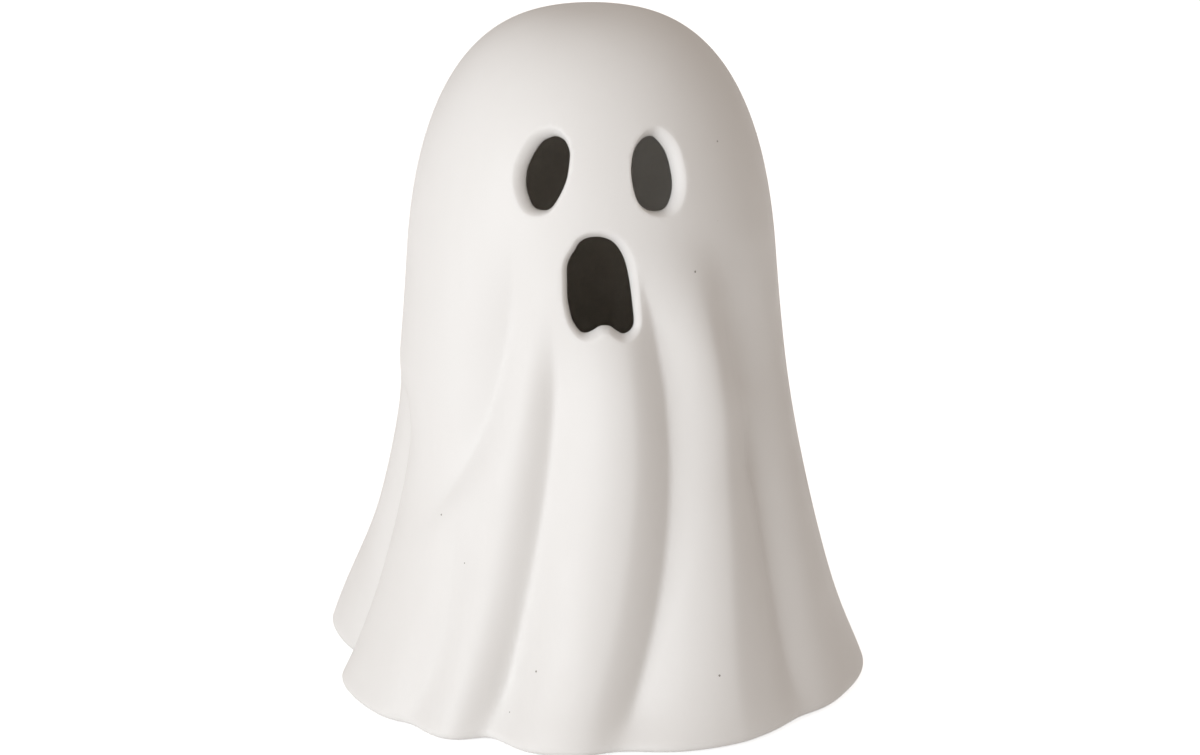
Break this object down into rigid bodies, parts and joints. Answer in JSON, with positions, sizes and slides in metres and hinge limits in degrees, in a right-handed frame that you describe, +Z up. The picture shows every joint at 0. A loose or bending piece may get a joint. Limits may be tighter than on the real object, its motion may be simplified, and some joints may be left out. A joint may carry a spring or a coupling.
{
  "type": "ceramic ghost lantern",
  "caption": "Hollow white ceramic ghost figure with a rounded head, cut-out eyes and mouth and a draped skirt, standing over a plug-in battery light unit in its base.",
  "frame": {"origin": "centre of the footprint, on the table under the felt pads", "axes": "+Z up through the crown, the face looks towards -Y, +X to the viewer's right"},
  "size_m": [0.1526, 0.1446, 0.191],
  "materials": {
    "ceramic": "satin",
    "felt": "matte",
    "silicone": "matte",
    "white_plastic": "satin",
    "frosted_plastic": "matte",
    "cell": "satin",
    "contact_metal": "satin",
    "board": "satin",
    "chip": "matte",
    "can": "satin",
    "led": "gloss",
    "screw": "satin",
    "switch_case": "satin",
    "knob": "satin",
    "wire": "satin"
  },
  "bodies": {
    "light_unit": {"grip_ring": "silicone", "light_housing": "white_plastic", "top_cover": "white_plastic", "diffuser_dome": "frosted_plastic", "battery_1": "cell", "battery_2": "cell", "positive_contact": "contact_metal", "negative_contact": "contact_metal", "bridge_contact": "contact_metal", "circuit_board": "board", "timer_chip": "chip", "resistors": "chip", "capacitor": "can", "led_lens": "led", "led_leads": "contact_metal", "board_screws": "screw", "cover_screws": "screw", "switch_body": "switch_case", "switch_leads": "wire"},
    "ghost": {"ceramic_shell": "ceramic", "foot_pad_1": "felt", "foot_pad_2": "felt", "foot_pad_3": "felt", "foot_pad_4": "felt"},
    "battery_door": {"battery_door": "white_plastic"},
    "switch_knob": {"switch_knob": "knob"}
  },
  "joints": [
    {"name": "shell_lift", "type": "slide", "parent": "light_unit", "child": "ghost", "axis": [0, 0, 1], "range_m": [0, 0.07]},
    {"name": "battery_door_hinge", "type": "hinge", "parent": "light_unit", "child": "battery_door", "pos_m": [-0.0263, -0.004, 0.0032], "axis": [0, 1, 0], "range_deg": [0, 90]},
    {"name": "switch_slide", "type": "slide", "parent": "light_unit", "child": "switch_knob", "axis": [1, 0, 0], "range_m": [-0.002, 0.002]}
  ]
}
